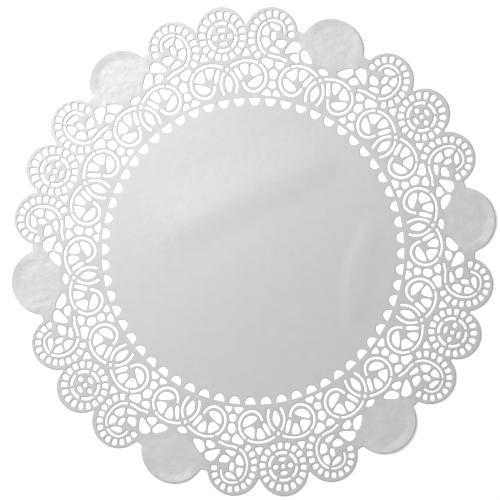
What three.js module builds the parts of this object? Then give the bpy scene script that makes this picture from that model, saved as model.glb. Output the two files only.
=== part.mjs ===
// A round paper doily: one flat die-cut sheet with a plain centre, a ring of D-shaped holes,
// a band of paired scrolls and a scalloped edge of petals, curls and rosettes.
// Millimetres, +Z up. The sheet lies on the plane z = 0 with its centre on the Z axis, and
// the axis of one petal is +X. The pattern repeats every 60 degrees, and each repeat is
// mirrored about its petal.

import * as THREE from 'three';

const SHEET_THICK = 1;
const REPEATS = 6;
const REPEAT_TURN = 360 / REPEATS;

// Lobes of the edge over one repeat. Each is part of a circle whose centre lies `out` from
// the sheet's centre, `turn` degrees round from the petal. `before` and `after` are the
// distances from the centre of the valleys on its two sides.
const PETAL_VALLEY = 139.0;
const ROSETTE_VALLEY = 141.0;
const CURL_TURN = 16.8;
const CURL_OUT = 135.4;
const CURL_RADIUS = 16.5;
const ROSETTE_TURN = REPEAT_TURN / 2;
const LOBE_SIDES = 12;
const LOBES = [
  { turn: 0, out: 132.8, radius: 20.5, before: PETAL_VALLEY, after: PETAL_VALLEY },
  { turn: CURL_TURN, out: CURL_OUT, radius: CURL_RADIUS, before: PETAL_VALLEY, after: ROSETTE_VALLEY },
  { turn: ROSETTE_TURN, out: 137.5, radius: 15.4, before: ROSETTE_VALLEY, after: ROSETTE_VALLEY },
  { turn: REPEAT_TURN - CURL_TURN, out: CURL_OUT, radius: CURL_RADIUS,
    before: ROSETTE_VALLEY, after: PETAL_VALLEY },
];

// Ring of D-shaped holes round the plain centre, each with its flat side outwards.
const D_HOLES = { count: 60, flatOut: 95.1, wide: 7.0, tall: 4.6, sides: 6 };

// Holes of one repeat, each in a frame turned by `frame` degrees from the petal. Its middle
// lies `along` counter-clockwise and `out` outwards. It is an egg `wide` across and `tall`
// outwards, turned by `lean` degrees counter-clockwise. `narrow` draws in its outer end, or
// where negative its inner end. Each is cut again mirrored about the petal, and a row with
// `half` is cut again half a repeat further on. A row on its own mirror line is not a pair.
const NET_FRAME = 15;
const CURL_FRAME = 16.5;
const HOLES = [
  // Paired scrolls: a lens between a pair, two holes over the eye, one slanting hole under it.
  { frame: 0, along: 0, out: 104.8, wide: 3.6, tall: 11.0, lean: 0, narrow: 0, pair: false, half: true },
  { frame: 0, along: 11.2, out: 112.9, wide: 5.6, tall: 6.2, lean: 4, narrow: -0.35, pair: true, half: true },
  { frame: 0, along: 17.3, out: 110.9, wide: 5.6, tall: 7.0, lean: 14, narrow: 0.3, pair: true, half: true },
  { frame: 0, along: 16.6, out: 104.0, wide: 9.8, tall: 4.3, lean: 27, narrow: 0, pair: true, half: true },
  // Net between the scrolls, and beside the petal.
  { frame: NET_FRAME, along: 4.4, out: 117.1, wide: 7.0, tall: 5.2, lean: 8, narrow: -0.4, pair: true, half: false },
  { frame: NET_FRAME, along: 0, out: 110.9, wide: 4.8, tall: 6.6, lean: 0, narrow: -0.1, pair: true, half: false },
  { frame: 0, along: 13.8, out: 124.4, wide: 9.2, tall: 4.9, lean: 36, narrow: 0, pair: true, half: false },
  { frame: 0, along: 20.0, out: 121.2, wide: 6.0, tall: 4.4, lean: -5, narrow: 0, pair: true, half: false },
  { frame: CURL_FRAME, along: -13.9, out: 128.3, wide: 6.4, tall: 10.2, lean: 55, narrow: -0.35,
    pair: true, half: false },
  // Curl lobe: four holes round its eye, and one between it and the rosette.
  { frame: CURL_FRAME, along: -1.0, out: 140.0, wide: 7.2, tall: 3.9, lean: 24, narrow: 0, pair: true, half: false },
  { frame: CURL_FRAME, along: 4.4, out: 137.2, wide: 5.4, tall: 6.2, lean: 0, narrow: 0.35, pair: true, half: false },
  { frame: CURL_FRAME, along: 3.9, out: 130.0, wide: 5.4, tall: 6.6, lean: -9, narrow: -0.35, pair: true, half: false },
  { frame: CURL_FRAME, along: -5.7, out: 129.8, wide: 6.8, tall: 4.4, lean: 0, narrow: -0.15, pair: true, half: false },
  { frame: ROSETTE_TURN, along: 13.6, out: 123.2, wide: 6.8, tall: 6.6, lean: -8, narrow: 0.6, pair: true, half: false },
];
const HOLE_SIDES = 7;

// Rosette: six curved slots in a ring about its hub.
const ROSETTE_SLOTS = { count: 6, hubOut: 134.5, ringRadius: 8.6, wide: 1.9, spread: 50, steps: 3 };

const radians = THREE.MathUtils.degToRad;

// A point `along` counter-clockwise and `out` outwards from the sheet's centre, in a frame
// turned by `turn` degrees from +X.
function framePoint(turn, along, out) {
  const angle = radians(turn);
  return new THREE.Vector2(
    out * Math.cos(angle) - along * Math.sin(angle),
    out * Math.sin(angle) + along * Math.cos(angle),
  );
}

// Angle from a lobe's outward axis at which its circle comes in to the distance `valley`.
function angleAtValley(lobe, valley) {
  return Math.acos((valley ** 2 - lobe.out ** 2 - lobe.radius ** 2) / (2 * lobe.out * lobe.radius));
}

function lobePoints(lobe, repeatTurn) {
  const start = -angleAtValley(lobe, lobe.before);
  const end = angleAtValley(lobe, lobe.after);
  const points = [];
  for (let side = 0; side <= LOBE_SIDES; side += 1) {
    const angle = start + ((end - start) * side) / LOBE_SIDES;
    const along = lobe.radius * Math.sin(angle);
    const out = lobe.out + lobe.radius * Math.cos(angle);
    points.push(framePoint(repeatTurn + lobe.turn, along, out));
  }
  return points;
}

function eggHole(row, turn, mirror) {
  const lean = radians(row.lean);
  const points = [];
  for (let side = 0; side < HOLE_SIDES; side += 1) {
    const angle = (2 * Math.PI * side) / HOLE_SIDES;
    const across = (row.wide / 2) * Math.sin(angle) * (1 - row.narrow * Math.cos(angle));
    const up = (row.tall / 2) * Math.cos(angle);
    const along = row.along + across * Math.cos(lean) - up * Math.sin(lean);
    const out = row.out + across * Math.sin(lean) + up * Math.cos(lean);
    points.push(framePoint(turn + mirror * row.frame, mirror * along, out));
  }
  return new THREE.Path().setFromPoints(points);
}

// Mirrored and repeated copies of one row of HOLES within one repeat.
function holeCopies(row, repeatTurn) {
  const copies = [];
  const starts = row.half ? [0, ROSETTE_TURN] : [0];
  const mirrors = row.pair ? [1, -1] : [1];
  for (const start of starts) {
    for (const mirror of mirrors) {
      copies.push(eggHole(row, repeatTurn + start, mirror));
    }
  }
  return copies;
}

function dHole(index) {
  const pitch = 360 / D_HOLES.count;
  const turn = (index + 0.5) * pitch;
  const points = [];
  for (let side = 0; side <= D_HOLES.sides; side += 1) {
    const angle = (Math.PI * side) / D_HOLES.sides;
    const along = (D_HOLES.wide / 2) * Math.cos(angle);
    const out = D_HOLES.flatOut - D_HOLES.tall * Math.sin(angle);
    points.push(framePoint(turn, along, out));
  }
  return new THREE.Path().setFromPoints(points);
}

function rosetteSlot(index, repeatTurn) {
  const { count, hubOut, ringRadius, wide, spread, steps } = ROSETTE_SLOTS;
  const middle = (360 * index) / count;
  const points = [];
  for (const edge of [1, -1]) {
    for (let step = 0; step <= steps; step += 1) {
      const angle = radians(middle + edge * spread * (step / steps - 0.5));
      const radius = ringRadius + (edge * wide) / 2;
      const along = radius * Math.sin(angle);
      const out = hubOut + radius * Math.cos(angle);
      points.push(framePoint(repeatTurn + ROSETTE_TURN, along, out));
    }
  }
  return new THREE.Path().setFromPoints(points);
}

function doilySheet() {
  const outline = [];
  const holes = [];
  for (let repeat = 0; repeat < REPEATS; repeat += 1) {
    const repeatTurn = repeat * REPEAT_TURN;
    outline.push(...LOBES.flatMap((lobe) => lobePoints(lobe, repeatTurn)));
    holes.push(...HOLES.flatMap((row) => holeCopies(row, repeatTurn)));
    for (let slot = 0; slot < ROSETTE_SLOTS.count; slot += 1) {
      holes.push(rosetteSlot(slot, repeatTurn));
    }
  }
  for (let index = 0; index < D_HOLES.count; index += 1) {
    holes.push(dHole(index));
  }
  const shape = new THREE.Shape(outline);
  shape.holes = holes;
  const geometry = new THREE.ExtrudeGeometry(shape, { depth: SHEET_THICK, bevelEnabled: false });
  const satinPaper = new THREE.MeshStandardMaterial({ color: 0xc8c8c8, roughness: 0.45, metalness: 0.3 });
  const mesh = new THREE.Mesh(geometry, satinPaper);
  mesh.name = 'doily_sheet';
  return mesh;
}

const doily = new THREE.Group();
doily.add(doilySheet());

export default doily;
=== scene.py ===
import math

import bmesh
import bpy
from mathutils import Matrix, Vector


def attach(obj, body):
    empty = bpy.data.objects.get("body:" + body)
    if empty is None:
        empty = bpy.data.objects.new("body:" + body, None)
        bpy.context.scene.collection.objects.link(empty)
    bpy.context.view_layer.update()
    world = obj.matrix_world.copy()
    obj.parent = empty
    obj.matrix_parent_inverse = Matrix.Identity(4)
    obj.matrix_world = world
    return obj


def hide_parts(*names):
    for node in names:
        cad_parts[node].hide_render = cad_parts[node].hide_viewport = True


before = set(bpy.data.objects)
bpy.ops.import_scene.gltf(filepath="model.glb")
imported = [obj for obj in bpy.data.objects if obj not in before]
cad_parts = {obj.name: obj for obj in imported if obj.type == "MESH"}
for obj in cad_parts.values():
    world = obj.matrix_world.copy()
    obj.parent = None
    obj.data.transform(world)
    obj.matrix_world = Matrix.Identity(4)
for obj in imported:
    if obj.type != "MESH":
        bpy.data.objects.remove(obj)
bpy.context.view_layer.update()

# Laced sheet. The doily is one sheet of silver-grey satin paper. A steel rule die cuts the
# outline and every gap of the lace in one stroke, and the same press embosses the threads
# and the rims of the petals, so nothing is sewn or glued on.
MM = 0.001
REPEATS = 6
REPEAT_TURN = 360 / REPEATS
# Closed outlines of the sheet in mm: its edge first, and then every gap
outlines = []


def plan_point(turn, along, out):
    """A place in the plan, in mm: `out` from the centre and `along` counter-clockwise of it,
    in a frame turned by `turn` degrees from +X, the axis of one petal."""
    angle = math.radians(turn)
    x = out * math.cos(angle) - along * math.sin(angle)
    y = out * math.sin(angle) + along * math.cos(angle)
    return x, y


# Edge of the sheet: circles for the petals, curls and rosettes, joined by short valley floors
PETAL = {"turn": 0, "out": 132.8, "radius": 20.5}
CURL = {"turn": 16.8, "out": 135.4, "radius": 16.5}
ROSETTE = {"turn": 30, "out": 137.5, "radius": 15.4}
PETAL_VALLEY = 139.0
ROSETTE_VALLEY = 141.0
LOBES = [
    # lobe, its turn from the petal, and how far out the valleys before and after it lie
    (PETAL, PETAL["turn"], PETAL_VALLEY, PETAL_VALLEY),
    (CURL, CURL["turn"], PETAL_VALLEY, ROSETTE_VALLEY),
    (ROSETTE, ROSETTE["turn"], ROSETTE_VALLEY, ROSETTE_VALLEY),
    (CURL, REPEAT_TURN - CURL["turn"], ROSETTE_VALLEY, PETAL_VALLEY),
]
LOBE_STEPS = 24


def valley_angle(lobe, valley):
    """Angle from the lobe's outward axis where its edge comes in to the valley."""
    out, radius = lobe["out"], lobe["radius"]
    return math.acos((valley ** 2 - out ** 2 - radius ** 2) / (2 * out * radius))


edge = []
for repeat in range(REPEATS):
    for lobe, turn, before, after in LOBES:
        start = -valley_angle(lobe, before)
        end = valley_angle(lobe, after)
        for step in range(LOBE_STEPS + 1):
            angle = start + (end - start) * step / LOBE_STEPS
            along = lobe["radius"] * math.sin(angle)
            out = lobe["out"] + lobe["radius"] * math.cos(angle)
            edge.append(plan_point(repeat * REPEAT_TURN + turn, along, out))
outlines.append(edge)


def cut(points, turn=0, pair=True, half=False):
    """Cuts a gap in every repeat, mirrored about the petal where it is one of a pair, and
    again half a repeat further on where it comes twice in a repeat."""
    starts = (0, REPEAT_TURN / 2) if half else (0,)
    sides = (1, -1) if pair else (1,)
    for repeat in range(REPEATS):
        for start in starts:
            for side in sides:
                base = repeat * REPEAT_TURN + start + side * turn
                outlines.append([plan_point(base, side * along, out) for along, out in points])


# Ring of D-shaped gaps round the plain centre, with their flat sides outwards
D_COUNT = 60
D_FLAT_OUT = 95.1
D_WIDE = 7.0
D_TALL = 4.6
D_STEPS = 12
D_PITCH = 360 / D_COUNT
d_gap = []
for step in range(D_STEPS + 1):
    angle = math.pi * step / D_STEPS
    d_gap.append((D_WIDE / 2 * math.cos(angle), D_FLAT_OUT - D_TALL * math.sin(angle)))
for number in range(D_COUNT // REPEATS):
    cut(d_gap, turn=(number + 0.5) * D_PITCH, pair=False)

# Paired scrolls: a ribbon split by a slot winds round an eye, and its twin mirrors it. Its
# winding starts wide, between the twins, and tightens again at the inner end. A second slot
# splits the short ribbon beside the lens between the twins.
EYE = (14.8, 106.7)
SCROLL_RADIUS = 8.7
SCROLL_START = {"wider": 7.9, "angle": 27, "fades_over": 48}
SCROLL_END = {"tighter": 2.5, "angle": 262, "grows_over": 86}
SCROLL_STOPS = (34, 124, 348)
BESIDE_LENS = ((1.9, 112.3), (7.3, 106.0), (3.5, 98.3))
SLOT_WIDE = 1.65
BAR_WIDE = 0.85
SLOT_PITCH = 1.6
FEWEST_SLOT_STEPS = 3
# Share of a stretch over which a line counts as straight
TINY_SHARE = 0.001


def around(pole, angle, radius):
    """The place at `radius` from a motif's pole. The angle in degrees is 0 towards the
    petal, 90 outwards, 180 away from the petal and 270 inwards."""
    turned = math.radians(angle)
    return pole[0] - radius * math.cos(turned), pole[1] + radius * math.sin(turned)


def ease(share):
    """0 below 0, 1 above 1, and a soft step between."""
    share = min(max(share, 0), 1)
    return share * share * (3 - 2 * share)


def scroll_line(angle):
    """Middle of the scroll's slot at an angle about its eye."""
    wider = SCROLL_START["wider"] * math.exp(-(angle - SCROLL_START["angle"]) / SCROLL_START["fades_over"])
    tighter = SCROLL_END["tighter"] * ease((angle - SCROLL_END["angle"]) / SCROLL_END["grows_over"])
    return around(EYE, angle, SCROLL_RADIUS + wider - tighter)


def bend(first, middle, last):
    """A line that curves from first to last, drawn towards middle."""
    def line(share):
        weights = ((1 - share) ** 2, 2 * share * (1 - share), share ** 2)
        points = (first, middle, last)
        return tuple(sum(w * p[axis] for w, p in zip(weights, points)) for axis in (0, 1))
    return line


def slots(line, stops, wide, bar):
    """Gaps of one width along a line, one from each stop to the next, with a bar of paper
    left across the line at every stop."""
    gaps = []
    for start, end in zip(stops, stops[1:]):
        tiny = (end - start) * TINY_SHARE
        begin = start + bar / 2 * tiny / math.dist(line(start), line(start + tiny))
        finish = end - bar / 2 * tiny / math.dist(line(end), line(end - tiny))
        half_long = math.dist(line(begin), line((begin + finish) / 2))
        steps = max(FEWEST_SLOT_STEPS, round(half_long * 2 / SLOT_PITCH))
        near, far = [], []
        for step in range(steps + 1):
            here = begin + (finish - begin) * step / steps
            (x0, y0), (x1, y1) = line(here - tiny), line(here + tiny)
            long = math.hypot(x1 - x0, y1 - y0)
            over, up = -(y1 - y0) / long * wide / 2, (x1 - x0) / long * wide / 2
            x, y = line(here)
            near.append((x + over, y + up))
            far.append((x - over, y - up))
        gaps.append(near + far[::-1])
    return gaps


for gap in slots(scroll_line, SCROLL_STOPS, SLOT_WIDE, BAR_WIDE):
    cut(gap, half=True)
for gap in slots(bend(*BESIDE_LENS), (0, 1), SLOT_WIDE, 0):
    cut(gap, half=True)

# Gaps of the scrolls that have soft corners. Such gaps are charted in mm, a corner as
# (along, out), and the blade cuts each of them wider than its chart all round.
CORNER_SHARE = 0.42
CORNER_STEPS = 3
BLADE_MM = 0.36


def between(start, end, share):
    """The place a share of the way from start to end."""
    return tuple(s + share * (e - s) for s, e in zip(start, end))


def widened(points, by):
    """The outline of a gap moved outwards all round by `by` mm."""
    behind, ahead = points[-1:] + points[:-1], points[1:] + points[:1]
    area = sum(x0 * y1 - x1 * y0 for (x0, y0), (x1, y1) in zip(points, ahead))
    moved = []
    for (x0, y0), (x, y), (x1, y1) in zip(behind, points, ahead):
        reach = math.copysign(by / math.hypot(x1 - x0, y1 - y0), area)
        moved.append((x + reach * (y1 - y0), y - reach * (x1 - x0)))
    return moved


def soft_gap(corners):
    """A gap with these corners, each of them rounded off, cut wider by the blade."""
    points = []
    for before, corner, after in zip(corners[-1:] + corners[:-1], corners, corners[1:] + corners[:1]):
        start = between(corner, before, CORNER_SHARE)
        end = between(corner, after, CORNER_SHARE)
        curve = bend(start, corner, end)
        points += [curve(step / CORNER_STEPS) for step in range(CORNER_STEPS + 1)]
    return widened(points, BLADE_MM)


SCROLL_GAPS = {
    "slit beside the twin": [(4.6, 113.5), (6.0, 114.8), (8.9, 108.6), (8.5, 106.5), (7.0, 107.0)],
    "over the eye, near the twin": [(7.7, 115.6), (14.1, 115.9), (12.5, 109.3), (10.6, 109.2)],
    "over the eye, far from the twin": [
        (15.4, 114.8), (17.2, 114.5), (21.2, 109.8), (20.4, 108.8), (16.2, 107.4), (14.5, 108.9)],
    "slanting under the eye": [
        (11.7, 102.4), (13.1, 104.2), (19.9, 107.2), (21.5, 106.1), (19.3, 101.9), (15.5, 100.8)],
}
for corners in SCROLL_GAPS.values():
    cut(soft_gap(corners), half=True)
TWIN_GAPS = {
    "lens between the twins": [
        (0, 98.9), (2.1, 104.0), (2.1, 106.2), (0, 110.4), (-2.1, 106.2), (-2.1, 104.0)],
    "diamond over the lens": [(0, 115.2), (1.1, 114.0), (0, 112.8), (-1.1, 114.0)],
}
for corners in TWIN_GAPS.values():
    cut(soft_gap(corners), pair=False, half=True)

# Net between the scrolls: two gaps at its head, two in its middle and two at its foot
NET_TURN = 15
NET_GAPS = {
    "head, away from the petal": [
        (0.8, 118.8), (7.8, 120.0), (8.3, 117.3), (5.4, 115.7), (3.7, 113.3), (1.3, 115.8)],
    "head, near the petal": [(-0.5, 118.1), (-0.6, 116.0), (-3.4, 113.6), (-6.2, 116.5), (-5.2, 118.2)],
    "upper middle": [(0.3, 114.0), (2.7, 111.8), (1.5, 107.7), (-1.7, 107.7), (-2.6, 111.6)],
    "lower middle": [(-1.5, 106.2), (1.4, 106.2), (2.4, 102.0), (-2.4, 102.0)],
    "foot, near the petal": [
        (-3.1, 100.9), (-2.3, 100.4), (-1.1, 98.2), (-1.6, 97.4), (-5.5, 97.3), (-5.4, 98.2)],
    "foot, away from the petal": [
        (2.1, 100.6), (3.3, 100.8), (5.9, 97.8), (5.5, 97.2), (0.6, 97.2), (0.4, 98.2)],
}
for corners in NET_GAPS.values():
    cut(soft_gap(corners), NET_TURN)

# Foot of each petal: a gap under it, and two on each side
UNDER_PETAL = [(0, 121.4), (4.0, 119.5), (0, 117.1), (-4.0, 119.5)]
PETAL_GAPS = {
    "beside the petal": [
        (8.8, 121.2), (9.0, 122.9), (14.9, 127.7), (17.0, 127.3), (17.9, 125.0), (14.7, 120.8)],
    "next to the curl's stem": [
        (16.8, 119.6), (17.6, 122.3), (19.6, 123.3), (21.8, 122.7), (23.2, 120.6), (21.0, 119.2),
        (18.0, 118.9)],
}
cut(soft_gap(UNDER_PETAL), pair=False)
for corners in PETAL_GAPS.values():
    cut(soft_gap(corners))

# Curl lobe: a ladder of small gaps under the rim, a slot that winds in from the stem, and
# gaps between the slot and the threads round the eye. The ladder's rungs come a little
# closer together as it runs round, and it moves out from the pole at the tip and the foot.
CURL_POLE = (-0.3, 135.1)
CURL_FRAME = 16.5
RUNG_GAP_WIDE = 3.5
RUNG_GAP_TALL = 4.3
RUNG_GAP_STEPS = 12
RUNG_GAP_SQUARENESS = 0.62
CURL_LADDER = {"gaps": 13, "first": 3.5, "pitch": 22.0, "closer": 0.21, "radius": 11.5}
CURL_LADDER_TIP = {"out": 1.5, "angle": 0, "over": 90}
CURL_LADDER_FOOT = {"out": 3.1, "angle": 160, "over": 95}
CURL_SLOT = [
    # angle about the pole, radius
    (4, 6.9),
    (34, 7.9),
    (60, 8.85),
    (92, 8.9),
    (122, 8.9),
    (152, 8.9),
    (184, 9.1),
    (213, 10.2),
    (236, 11.7),
    (258, 12.9),
    (281, 14.0),
    (292, 15.2),
    (304, 19.2),
]
CURL_STOPS = (0, 4, 9, 12)
CURL_GAPS = {
    "over the eye, near the petal": [
        (-4.6, 138.8), (-3.7, 140.8), (1.7, 141.8), (2.7, 141.3), (0.1, 138.8), (-3.1, 137.5)],
    "over the eye, near the rosette": [
        (4.2, 140.8), (6.35, 137.5), (6.5, 134.4), (2.3, 134.4), (2.4, 137.5)],
    "beside the eye": [
        (-1.6, 136.6), (0.7, 136.6), (0.7, 133.0), (-0.5, 131.4), (-1.8, 131.8), (-2.1, 134.8)],
    "under the eye, near the rosette": [
        (1.2, 129.3), (2.1, 132.5), (6.6, 132.8), (6.3, 130.4), (3.9, 126.7), (2.8, 126.7)],
    "beside the stem": [(-5.8, 124.5), (-1.0, 127.9), (1.0, 126.2), (0.8, 124.9), (-4.6, 123.9)],
    "under the eye, near the petal": [
        (-9.8, 131.9), (-7.5, 127.7), (-5.6, 127.3), (-2.3, 128.9), (-3.2, 131.8)],
    "next to the petal": [
        (-18.9, 127.3), (-17.3, 130.8), (-13.0, 132.2), (-8.4, 124.7), (-9.9, 124.1), (-16.0, 126.0)],
}


def rung_gap(pole, middle, radius, tall):
    """A gap of a ladder, with rounded corners, at an angle and a radius about a pole."""
    sweep = math.degrees(RUNG_GAP_WIDE / radius)
    points = []
    for step in range(RUNG_GAP_STEPS):
        angle = 2 * math.pi * (step + 0.5) / RUNG_GAP_STEPS
        side = math.copysign(abs(math.cos(angle)) ** RUNG_GAP_SQUARENESS, math.cos(angle))
        rise = math.copysign(abs(math.sin(angle)) ** RUNG_GAP_SQUARENESS, math.sin(angle))
        points.append(around(pole, middle + sweep / 2 * side, radius + tall / 2 * rise))
    return points


def moved_out(part, angle):
    """How far a part of the curl's ladder is moved out at an angle about the pole."""
    return part["out"] * ease((angle - part["angle"]) / part["over"])


def curl_line(place):
    """A soft line through the rows of CURL_SLOT, counted from 0."""
    index = min(max(int(place), 0), len(CURL_SLOT) - 2)
    share = place - index
    rows = [CURL_SLOT[min(max(index + step, 0), len(CURL_SLOT) - 1)] for step in (-1, 0, 1, 2)]
    value = []
    for before, start, end, after in zip(*rows):
        slope = end - before
        bow = 2 * before - 5 * start + 4 * end - after
        twist = 3 * (start - end) + after - before
        value.append(start + share / 2 * (slope + share * (bow + share * twist)))
    return around(CURL_POLE, *value)


for number in range(CURL_LADDER["gaps"]):
    middle = CURL_LADDER["first"] + CURL_LADDER["pitch"] * number - CURL_LADDER["closer"] * number ** 2
    radius = CURL_LADDER["radius"] + moved_out(CURL_LADDER_TIP, middle) + moved_out(CURL_LADDER_FOOT, middle)
    cut(rung_gap(CURL_POLE, middle, radius, RUNG_GAP_TALL), CURL_FRAME)
for gap in slots(curl_line, CURL_STOPS, SLOT_WIDE, BAR_WIDE):
    cut(gap, CURL_FRAME)
for corners in CURL_GAPS.values():
    cut(soft_gap(corners), CURL_FRAME)

# Rosette: a ladder of small gaps, longer towards the rim, then a ring of six slots and a hub
# of five gaps, and a gap on each side between the rosette and its curls
ROSETTE_POLE = (0, 134.5)
ROSETTE_LADDER = {"gaps": 18, "radius": 12.9}
ROSETTE_LADDER_TIP = {"out": 0.5, "longer": 0.7}
ROSETTE_RING = {"slots": 6, "radius": 8.6, "wide": 2.1, "bar": 1.2}
ROSETTE_HUB = [
    # along, out from the pole, wide, tall
    (0, 4.2, 5.4, 3.0),
    (0, -4.4, 5.4, 2.8),
    (4.7, -0.1, 3.9, 3.3),
    (-4.7, -0.1, 3.9, 3.3),
    (0, 0, 3.0, 3.3),
]
HUB_STEPS = 10
BESIDE_ROSETTE = [(13.4, 126.1), (16.2, 121.0), (13.2, 120.9), (10.5, 121.4), (12.8, 123.7)]


def ring_line(angle):
    """Middle of the ring of slots at an angle about the rosette's pole."""
    return around(ROSETTE_POLE, angle, ROSETTE_RING["radius"])


for number in range(ROSETTE_LADDER["gaps"]):
    middle = 90 + 360 / ROSETTE_LADDER["gaps"] * number
    outer = max(0, math.sin(math.radians(middle)))
    radius = ROSETTE_LADDER["radius"] + ROSETTE_LADDER_TIP["out"] * outer
    tall = RUNG_GAP_TALL + ROSETTE_LADDER_TIP["longer"] * outer
    cut(rung_gap(ROSETTE_POLE, middle, radius, tall), ROSETTE["turn"], pair=False)
ring_pitch = 360 / ROSETTE_RING["slots"]
ring_stops = [ring_pitch * (number + 1) for number in range(ROSETTE_RING["slots"] + 1)]
for gap in slots(ring_line, ring_stops, ROSETTE_RING["wide"], ROSETTE_RING["bar"]):
    cut(gap, ROSETTE["turn"], pair=False)
for along, out, wide, tall in ROSETTE_HUB:
    hub_gap = []
    for step in range(HUB_STEPS):
        angle = 2 * math.pi * step / HUB_STEPS
        across = wide / 2 * math.sin(angle)
        up = tall / 2 * math.cos(angle)
        hub_gap.append((along + across, ROSETTE_POLE[1] + out + up))
    cut(hub_gap, ROSETTE["turn"], pair=False)
cut(soft_gap(BESIDE_ROSETTE), ROSETTE["turn"])

# Plain centre and the fields of the petals, left open in the lace and meshed as fine ovals
CENTRE = {"out": 0, "half_wide": 88.0, "half_tall": 88.0, "rings": 44, "sides": 180}
PETAL_FIELD = {"out": 137.2, "half_wide": 16.0, "half_tall": 13.2, "rings": 9, "sides": 60}
WELD_MM = 0.01


def oval_matrix(oval, turn):
    """Carries the unit circle to an oval of the plan."""
    size = Matrix.Diagonal((oval["half_tall"] * MM, oval["half_wide"] * MM, 1, 1))
    place = Matrix.Translation((oval["out"] * MM, 0, 0))
    return Matrix.Rotation(math.radians(turn), 4, "Z") @ place @ size


def oval_field(mesh, oval, turn):
    """Sweeps a spoke round the pole of an oval."""
    before = set(mesh.verts)
    spoke = [mesh.verts.new((ring / oval["rings"], 0, 0)) for ring in range(oval["rings"] + 1)]
    edges = [mesh.edges.new(pair) for pair in zip(spoke, spoke[1:])]
    bmesh.ops.spin(mesh, geom=spoke + edges, cent=(0, 0, 0), axis=(0, 0, 1), angle=2 * math.pi,
                   steps=oval["sides"], use_merge=True)
    swept = [vert for vert in mesh.verts if vert not in before]
    bmesh.ops.transform(mesh, matrix=oval_matrix(oval, turn), verts=swept)


fields = [(CENTRE, 0)]
fields += [(PETAL_FIELD, repeat * REPEAT_TURN) for repeat in range(REPEATS)]
lace = bmesh.new()
loops = [[Vector((x * MM, y * MM, 0)) for x, y in outline] for outline in outlines]
for oval, turn in fields:
    angles = [2 * math.pi * side / oval["sides"] for side in range(oval["sides"])]
    carried = oval_matrix(oval, turn)
    loops.append([carried @ Vector((math.cos(angle), math.sin(angle), 0)) for angle in angles])
for loop in loops:
    corners = [lace.verts.new(place) for place in loop]
    for here, there in zip(corners, corners[1:] + corners[:1]):
        lace.edges.new((here, there))
bmesh.ops.triangle_fill(lace, use_beauty=True, use_dissolve=False, edges=lace.edges[:], normal=(0, 0, 1))
for oval, turn in fields:
    oval_field(lace, oval, turn)
bmesh.ops.remove_doubles(lace, verts=lace.verts[:], dist=WELD_MM * MM)
bmesh.ops.reverse_faces(lace, faces=[face for face in lace.faces if face.normal.z < 0])

# Embossing: the blade presses down a narrow band along every cut edge, so that the threads
# stand up between the gaps, and that band is painted darker as shade. Two gaps lie further
# apart than two such bands.
PRESSED_EDGE_MM = 0.24
PRESSED_DEPTH_MM = 0.03
bmesh.ops.inset_region(lace, faces=lace.faces[:], use_boundary=True, use_even_offset=False,
                       thickness=PRESSED_EDGE_MM * MM, depth=PRESSED_DEPTH_MM * MM)
# This attribute is 1 at a cut edge and 0 on top of the thread; the paper's colour is painted darker along
# it, as shade
painted_shade = lace.verts.layers.float.new("painted_shade")
for vert in lace.verts:
    vert[painted_shade] = 1 - vert.co.z / (PRESSED_DEPTH_MM * MM)

# Handling: the plain centre keeps two soft creases. Each rises across its line, to the left of
# the way the line runs, and sinks again further out. It fades at its ends and before the lace.
CREASES = [
    # from, drawn towards, to, and how wide and high the rise is, all in mm
    {"line": bend((-63.4, 5.5), (30.3, 34.6), (64.5, 44.8)), "wide": 24.0, "rise": 0.7},
    {"line": bend((80.7, 14.2), (43.7, -23.5), (55.8, -59.3)), "wide": 8.0, "rise": 0.35},
]
CREASE_STEPS = 16
CREASE_NUDGE = 0.01
CREASE_SIDE_MM = 40.0
CREASE_PAST_MM = 12.0
CREASE_TAPER = {"start": 0.15, "growth": 4}
CREASED_RADIUS = 72.0
CREASED_FADE = 14.0


def crease_relief(x, y):
    """Height that the creases add at a place of the centre, in mm."""
    height = 0
    for crease in CREASES:
        line = crease["line"]
        shares = [step / CREASE_STEPS for step in range(CREASE_STEPS + 1)]
        share = min(shares, key=lambda share: math.dist(line(share), (x, y)))
        (x0, y0), (x1, y1) = line(share - CREASE_NUDGE), line(share + CREASE_NUDGE)
        long = math.hypot(x1 - x0, y1 - y0)
        px, py = line(share)
        across = ((x1 - x0) * (y - py) - (y1 - y0) * (x - px)) / long
        along = ((x1 - x0) * (x - px) + (y1 - y0) * (y - py)) / long
        past = abs(along) if share in (0, 1) else 0
        taper = ease(CREASE_TAPER["growth"] * min(share, 1 - share) + CREASE_TAPER["start"])
        fade = (1 - ease(past / CREASE_PAST_MM)) * taper
        step_up = ease(across / crease["wide"] + 0.5) * (1 - ease(abs(across) / CREASE_SIDE_MM))
        height += crease["rise"] * fade * step_up
    return height * (1 - ease((math.hypot(x, y) - CREASED_RADIUS) / CREASED_FADE))
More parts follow.
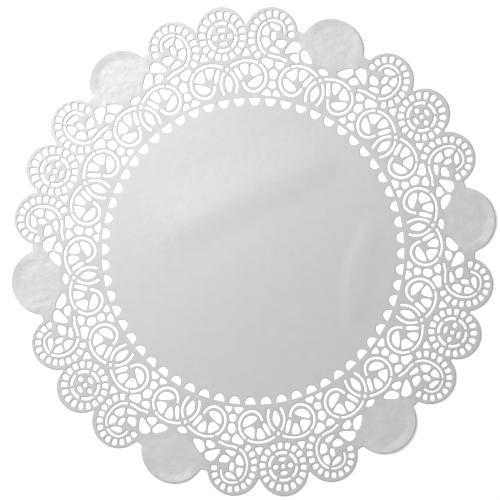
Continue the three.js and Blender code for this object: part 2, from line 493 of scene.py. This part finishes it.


# Lie of the sheet: the centre swells a little, the edge turns up all round, and so does the
# rim of each petal. The solid petals are the most crushed and get the most painted sheen,
# and the lace is painted a little darker, as shade.
SWELL = {"rise": 1.2, "radius": 100}
TURNED_UP = {"rise": 0.5, "radius": 95, "over": 65}
PETAL_RIM = {"rise": 0.6, "wide": 6.0}
PETAL_FOOT_OUT = 124.0
PETAL_EDGE_SLACK = 0.1
PETAL_CRUSH_AND_SHEEN = 0.65
REST_CRUSH_AND_SHEEN = 0.2
LACE_FOOT_OUT = 96.0
LACE_PAINTED_SHADE = 0.08
crushed_and_sheen = lace.verts.layers.float.new("crushed_and_sheen")
for vert in lace.verts:
    x, y = vert.co.x / MM, vert.co.y / MM
    from_centre = math.hypot(x, y)
    swell = SWELL["rise"] * (1 - ease(from_centre / SWELL["radius"]))
    turned_up = TURNED_UP["rise"] * ease((from_centre - TURNED_UP["radius"]) / TURNED_UP["over"])
    height = swell + turned_up
    if from_centre < CREASED_RADIUS + CREASED_FADE:
        height += crease_relief(x, y)
    turn = math.degrees(math.atan2(y, x))
    petal_turn = round(turn / REPEAT_TURN) * REPEAT_TURN
    along = from_centre * math.sin(math.radians(turn - petal_turn))
    from_pole = math.dist((x, y), plan_point(petal_turn, 0, PETAL["out"]))
    in_petal = from_pole < PETAL["radius"] + PETAL_EDGE_SLACK and from_centre > PETAL_FOOT_OUT
    # How crushed the paper is: it sets the depth of the cockles and how much painted sheen shows
    vert[crushed_and_sheen] = PETAL_CRUSH_AND_SHEEN if in_petal else REST_CRUSH_AND_SHEEN
    # The lace is painted a little darker all over, as shade on its threads and knots
    if from_centre > LACE_FOOT_OUT and not in_petal:
        vert[painted_shade] = max(vert[painted_shade], LACE_PAINTED_SHADE)
    if in_petal:
        rim = ease((from_pole - PETAL["radius"] + PETAL_RIM["wide"]) / PETAL_RIM["wide"])
        height += PETAL_RIM["rise"] * rim * ease((PETAL["radius"] - abs(along)) / PETAL_RIM["wide"])
    vert.co.z += height * MM

# Thickness: the paper is given its back, and its lowest point is set down on the table
SHEET_THICK_MM = 0.15
bmesh.ops.solidify(lace, geom=lace.faces[:], thickness=-SHEET_THICK_MM * MM)
bmesh.ops.translate(lace, vec=(0, 0, -min(vert.co.z for vert in lace.verts)), verts=lace.verts[:])
for face in lace.faces:
    face.smooth = True
# Large faces count for more in the shading, so that the plain areas stay smooth up to a gap
LARGE_FACE_WEIGHT = 60
mesh = bpy.data.meshes.new("laced_sheet")
lace.to_mesh(mesh)
lace.free()
sheet = bpy.data.objects.new("laced_sheet", mesh)
bpy.context.scene.collection.objects.link(sheet)
weighted = sheet.modifiers.new("weighted", "WEIGHTED_NORMAL")
weighted.weight = LARGE_FACE_WEIGHT


def linear(hex_colour):
    """An sRGB hex colour as linear values."""
    values = [int(hex_colour[start:start + 2], 16) / 255 for start in (1, 3, 5)]
    return [v / 12.92 if v < 0.04045 else ((v + 0.055) / 1.055) ** 2.4 for v in values] + [1]


def add(tree, kind, links=(), **settings):
    """Adds a node, sets its properties and sockets by name, and links its inputs."""
    node = tree.nodes.new(kind)
    for name, value in settings.items():
        if hasattr(node, name):
            setattr(node, name, value)
        else:
            node.inputs[name.replace("_", " ")].default_value = value
    for socket, source in links:
        tree.links.new(source, node.inputs[socket])
    return node


# Satin paper: wood-pulp paper with a thin pearly coating, rolled smooth. To the eye it is a
# plain silver grey with a soft, broad sheen, lighter towards the window. Handling leaves
# shallow cockles, most of all on the petals, and lighter patches there are a painted mottled
# sheen. Along the cut edges, and thinly over the lace, a darker grey is painted as shade.
COCKLE_MM = 4.2
COCKLE_DEEP_MM = 0.35
GRAIN_MM = 0.7
GRAIN_DEEP_MM = 0.05
# Lighter grey painted in patches of this size, most on the petals, as a mottled sheen
SHEEN_PATCH_MM = 6.7
PAPER_GREY = "#B5B5B5"
SHEEN_PATCH_GREY = "#BFBFBF"
# Darker grey painted along the cut edges and thinly over the lace, as shade
PAINTED_SHADE_GREY = "#7C7C7C"
paper = bpy.data.materials.new("silver_grey_satin_paper")
paper.use_nodes = True
tree = paper.node_tree
tree.nodes.clear()
place = add(tree, "ShaderNodeTexCoord").outputs["Object"]
crush_and_sheen = add(tree, "ShaderNodeAttribute", attribute_name="crushed_and_sheen")
painted_shade_amount = add(tree, "ShaderNodeAttribute", attribute_name="painted_shade")
cockle = add(tree, "ShaderNodeTexNoise", [("Vector", place)], Scale=1 / (COCKLE_MM * MM), Detail=3.0)
waved = add(tree, "ShaderNodeBump", [("Height", cockle.outputs["Fac"]), ("Strength", crush_and_sheen.outputs["Fac"])],
            Distance=COCKLE_DEEP_MM * MM)
# The real grain is about a tenth of a millimetre, too fine to show, so it is drawn coarser
grain = add(tree, "ShaderNodeTexNoise", [("Vector", place)], Scale=1 / (GRAIN_MM * MM), Detail=2.0)
bump = add(tree, "ShaderNodeBump", [("Height", grain.outputs["Fac"]), ("Normal", waved.outputs["Normal"])],
           Strength=0.15, Distance=GRAIN_DEEP_MM * MM)
# Painted sheen: lighter patches, strongest where the sheet is most crushed
sheen_patches = add(tree, "ShaderNodeTexNoise", [("Vector", place)], Scale=1 / (SHEEN_PATCH_MM * MM), Detail=2.0)
spread = add(tree, "ShaderNodeMapRange", [("Value", sheen_patches.outputs["Fac"])], From_Min=0.3, From_Max=0.7)
painted_sheen = add(tree, "ShaderNodeMath", [(0, spread.outputs["Result"]), (1, crush_and_sheen.outputs["Fac"])],
            operation="MULTIPLY")
face = add(tree, "ShaderNodeMixRGB", [("Fac", painted_sheen.outputs["Value"])],
           Color1=linear(PAPER_GREY), Color2=linear(SHEEN_PATCH_GREY))
# Painted shade: the darker grey along the cut edges and over the lace
shade = add(tree, "ShaderNodeMixRGB", [("Fac", painted_shade_amount.outputs["Fac"]), ("Color1", face.outputs["Color"])],
            Color2=linear(PAINTED_SHADE_GREY))
skin = add(tree, "ShaderNodeBsdfPrincipled",
           [("Base Color", shade.outputs["Color"]), ("Normal", bump.outputs["Normal"])],
           Roughness=0.43, Metallic=0.3)
add(tree, "ShaderNodeOutputMaterial", [("Surface", skin.outputs["BSDF"])])
mesh.materials.append(paper)

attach(sheet, "root")
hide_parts("doily_sheet")

# Floor. A plain white table top, painted matt, which spreads past the view on all sides and
# on which the sheet lies.
FLOOR_SIDE = 6.0
floor_shape = bmesh.new()
bmesh.ops.create_grid(floor_shape, x_segments=1, y_segments=1, size=FLOOR_SIDE / 2)
floor_mesh = bpy.data.meshes.new("floor")
floor_shape.to_mesh(floor_mesh)
floor_shape.free()
floor = bpy.data.objects.new("floor", floor_mesh)
bpy.context.scene.collection.objects.link(floor)
# Matt white paint: no sheen, so the floor is an even white under the lace
white = bpy.data.materials.new("matt_white_table_top")
white.use_nodes = True
paint = white.node_tree.nodes["Principled BSDF"]
paint.inputs["Base Color"].default_value = linear("#FAFAFA")
paint.inputs["Roughness"].default_value = 0.9
paint.inputs["Specular IOR Level"].default_value = 0.1
floor_mesh.materials.append(white)

# Light. One large soft window lamp above the sheet, up to the left of the photo, and a
# bright plain room that fills the shadows.
PHOTO_TURN = 8.19
LAMP_SIDE = 0.5
LAMP_RIGHT = -0.42
LAMP_UP = 0.36
LAMP_HIGH = 0.5
LAMP_WATTS = 6.2
ROOM_STRENGTH = 0.72


def photo_direction(right, up):
    """A direction on the table from the photo's right and up."""
    turn = math.radians(PHOTO_TURN)
    return right * math.cos(turn) + up * math.sin(turn), up * math.cos(turn) - right * math.sin(turn)


world = bpy.data.worlds.new("room")
bpy.context.scene.world = world
world.use_nodes = True
room = world.node_tree.nodes["Background"]
room.inputs["Color"].default_value = linear("#FFFFFF")
room.inputs["Strength"].default_value = ROOM_STRENGTH
lamp = bpy.data.lights.new("window", "AREA")
lamp.shape = "RECTANGLE"
lamp.size, lamp.size_y = LAMP_SIDE, LAMP_SIDE
lamp.energy = LAMP_WATTS
window = bpy.data.objects.new("window", lamp)
bpy.context.scene.collection.objects.link(window)
window.location = (*photo_direction(LAMP_RIGHT, LAMP_UP), LAMP_HIGH)
window.rotation_euler = (-window.location).to_track_quat("-Z", "Y").to_euler()

# Camera. Above the middle of the sheet, turned as the photo is, and leant over to the photo's
# right, so that a circle on the sheet is as narrow as there. SHEET_RADIUS upwards in the
# photo, from the middle of the sheet, is HALF_TALL_PX there.
CAMERA_HIGH = 4.4
CAMERA_LEAN = 9.53
SHEET_RADIUS = 0.1525
HALF_TALL_PX = 245.92
PHOTO_SIDE_PX = 500
PHOTO_MIDDLE_PX = (252.34, 251.2)
view = bpy.data.cameras.new("camera")
view.lens = CAMERA_HIGH * view.sensor_width * HALF_TALL_PX / PHOTO_SIDE_PX / SHEET_RADIUS
view.shift_x = (PHOTO_SIDE_PX / 2 - PHOTO_MIDDLE_PX[0]) / PHOTO_SIDE_PX
view.shift_y = (PHOTO_MIDDLE_PX[1] - PHOTO_SIDE_PX / 2) / PHOTO_SIDE_PX
camera = bpy.data.objects.new("camera", view)
bpy.context.scene.collection.objects.link(camera)
bpy.context.scene.camera = camera
turned = Matrix.Rotation(math.radians(-PHOTO_TURN), 4, "Z")
leant = Matrix.Rotation(math.radians(CAMERA_LEAN), 4, "Y")
camera.matrix_world = turned @ leant @ Matrix.Translation((0, 0, CAMERA_HIGH))
bpy.context.scene.view_settings.view_transform = "Standard"
